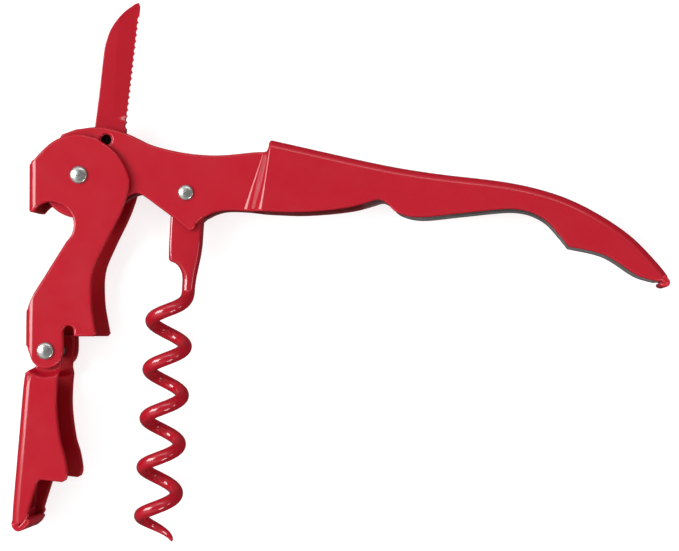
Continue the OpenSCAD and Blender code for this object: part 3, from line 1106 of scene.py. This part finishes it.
def add_curls():
    tail = curl([at(*p) for p in TAIL_CURL], -1, 1.2, half_width("handle") - 0.14)
    add("handle_tail", tail, "handle", "handle", "red_paint", RED)
    toe = curl([at(*p) for p in TOE_CURL], 1, 1.65, half_width("second_lever") - 0.1, 0.34, 2.8, 1.2)
    add("second_lever_toe", toe, "second_lever", "second_lever", "red_paint", RED)


def add_worm():
    piece = add("worm_wire", worm_mesh(), "worm", "worm", "red_coated_steel", DEEP_RED)
    drilled(piece, WORM, RIVET_R + HOLE_PLAY)


def add_blade():
    add("blade_serrated", blade_mesh(), "blade", "blade", "red_coated_steel", DEEP_RED)


def add_solid_rivets():
    for node, body, centre, head_r in SOLID_RIVETS:
        profile = rivet_profile(head_r, half_width(node) - HEAD_H)
        add(node + "_domed", lathed(profile, centre), body, node, "bright_steel", POLISHED)


def add_tubular_rivet():
    """The blade's rivet, with near-black red on the faces inside its bore and on its web, as painted shade.
    """
    profile = eyelet_profile(half_width("blade_rivet"), EYELET_R, EYELET_BORE_R)
    vertices, polygons = lathed(profile, BLADE)
    reach = [max(math.dist(vertices[v][:2], BLADE) for v in polygon) for polygon in polygons]
    kinds = [int(r < EYELET_BORE_R + 0.02) for r in reach]
    add("blade_rivet_flared", (vertices, polygons, kinds), "handle", "blade_rivet", "red_paint",
        DEEP_RED, BORE_SHADE_RED)


def add_spacers():
    for node, outer, inner, centre in (
            ("main_spacer", 2.3, RIVET_R + HOLE_PLAY, MAIN),
            ("blade_washer_front", 2.2, EYELET_R + HOLE_PLAY, BLADE),
            ("blade_washer_rear", 2.2, EYELET_R + HOLE_PLAY, BLADE)):
        low, high = (corner.z / MM - MID_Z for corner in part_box(node))
        ring = ring_mesh(outer, inner, low, high, centre)
        add(node + "_ring", ring, "handle", node, "plain_steel", PLAIN)


# -------------------- table, light and camera

SOFTBOXES = (("left_softbox", (-0.58, 0.12, 0.56), (0.34, 0.5), 5.0),
             ("back_softbox", (0.05, 0.50, 0.66), (0.5, 0.12), 0.5),
             ("right_softbox", (0.75, -0.20, 0.42), (0.3, 0.12), 0.45),
             ("front_softbox", (0.40, -0.62, 0.50), (0.3, 0.2), 1.5))
LIGHTS_LOOK_AT = (0, 0, 0.007)
CAMERA_AT = (35.718, -11.035, 343.25)
CAMERA_LOOKS_AT = (0.845, -1.059, 13.25)
LENS = 95.58


def add_table():
    bpy.ops.mesh.primitive_plane_add(size=4.0, location=(0, 0, 0))
    table = bpy.context.object
    table.name = "table"
    material = bpy.data.materials.new("pale_table")
    tree = Tree(material)
    tree.set(Base_Color=tree.mottled(9, 3, (0.3, 0.42), (0.7, 0.44)), Roughness=0.75,
             Specular_IOR_Level=0.2, Emission_Color=1.0, Emission_Strength=0.72)
    table.data.materials.append(material)
    # Kept out of reflections, so that the outer edges read dark as they do in the photo.
    table.visible_glossy = False


def add_light(name, place, size, power):
    data = bpy.data.lights.new(name, "AREA")
    data.shape = "RECTANGLE"
    data.size, data.size_y = size
    data.energy = power
    light = bpy.data.objects.new(name, data)
    light.location = place
    ahead = Vector(LIGHTS_LOOK_AT) - Vector(place)
    light.rotation_euler = ahead.to_track_quat("-Z", "Y").to_euler()
    bpy.context.collection.objects.link(light)
    return light


def add_lights():
    for softbox in SOFTBOXES:
        add_light(*softbox)
    # The light overhead fills shadows, and is kept out of reflections so that the flats stay deep red.
    add_light("overhead_fill", (0, 0, 0.9), (0.9, 0.9), 4.0).visible_glossy = False


def add_world():
    """A soft dome of light, brightest at the upper left and dark overhead, where the camera is."""
    world = bpy.data.worlds.new("studio")
    bpy.context.scene.world = world
    tree = Tree(world, "Background")
    view = tree.node("TexCoord").outputs["Generated"]
    height = tree.node("VectorMath", "DOT_PRODUCT", view, (0, 0, 1)).outputs["Value"]
    sky = tree.ramp(height, (0.0, 0.06), (0.35, 0.18), (0.72, 1.0), (0.84, 0.9), (0.93, 0.06))
    aside = tree.node("VectorMath", "DOT_PRODUCT", view, (-0.56, 0.20, 0.0)).outputs["Value"]
    shift = tree.node("Math", "ADD", aside, 0.5).outputs["Value"]
    side = tree.ramp(shift, (0.0, 0.08), (0.5, 0.4), (1.0, 1.0))
    tree.set(Color=tree.mixed("MULTIPLY", 1.0, sky, side), Strength=1.3)


def add_camera():
    """The camera, with the table's +Y upwards in the picture."""
    data = bpy.data.cameras.new("camera")
    data.lens = LENS
    data.sensor_width = 36.0
    data.clip_start = 0.01
    camera = bpy.data.objects.new("camera", data)
    eye, target = (Vector(p) * MM for p in (CAMERA_AT, CAMERA_LOOKS_AT))
    back = (eye - target).normalized()
    right = Vector((0, 1, 0)).cross(back).normalized()
    up = back.cross(right)
    camera.matrix_world = Matrix(((right.x, up.x, back.x, eye.x), (right.y, up.y, back.y, eye.y),
                                  (right.z, up.z, back.z, eye.z), (0, 0, 0, 1)))
    bpy.context.collection.objects.link(camera)
    bpy.context.scene.camera = camera
    bpy.context.scene.view_settings.view_transform = "Standard"


add_camera()
add_lights()
add_world()
add_table()
add_levers_and_handle()
add_curls()
add_worm()
add_blade()
add_solid_rivets()
add_tubular_rivet()
add_spacers()
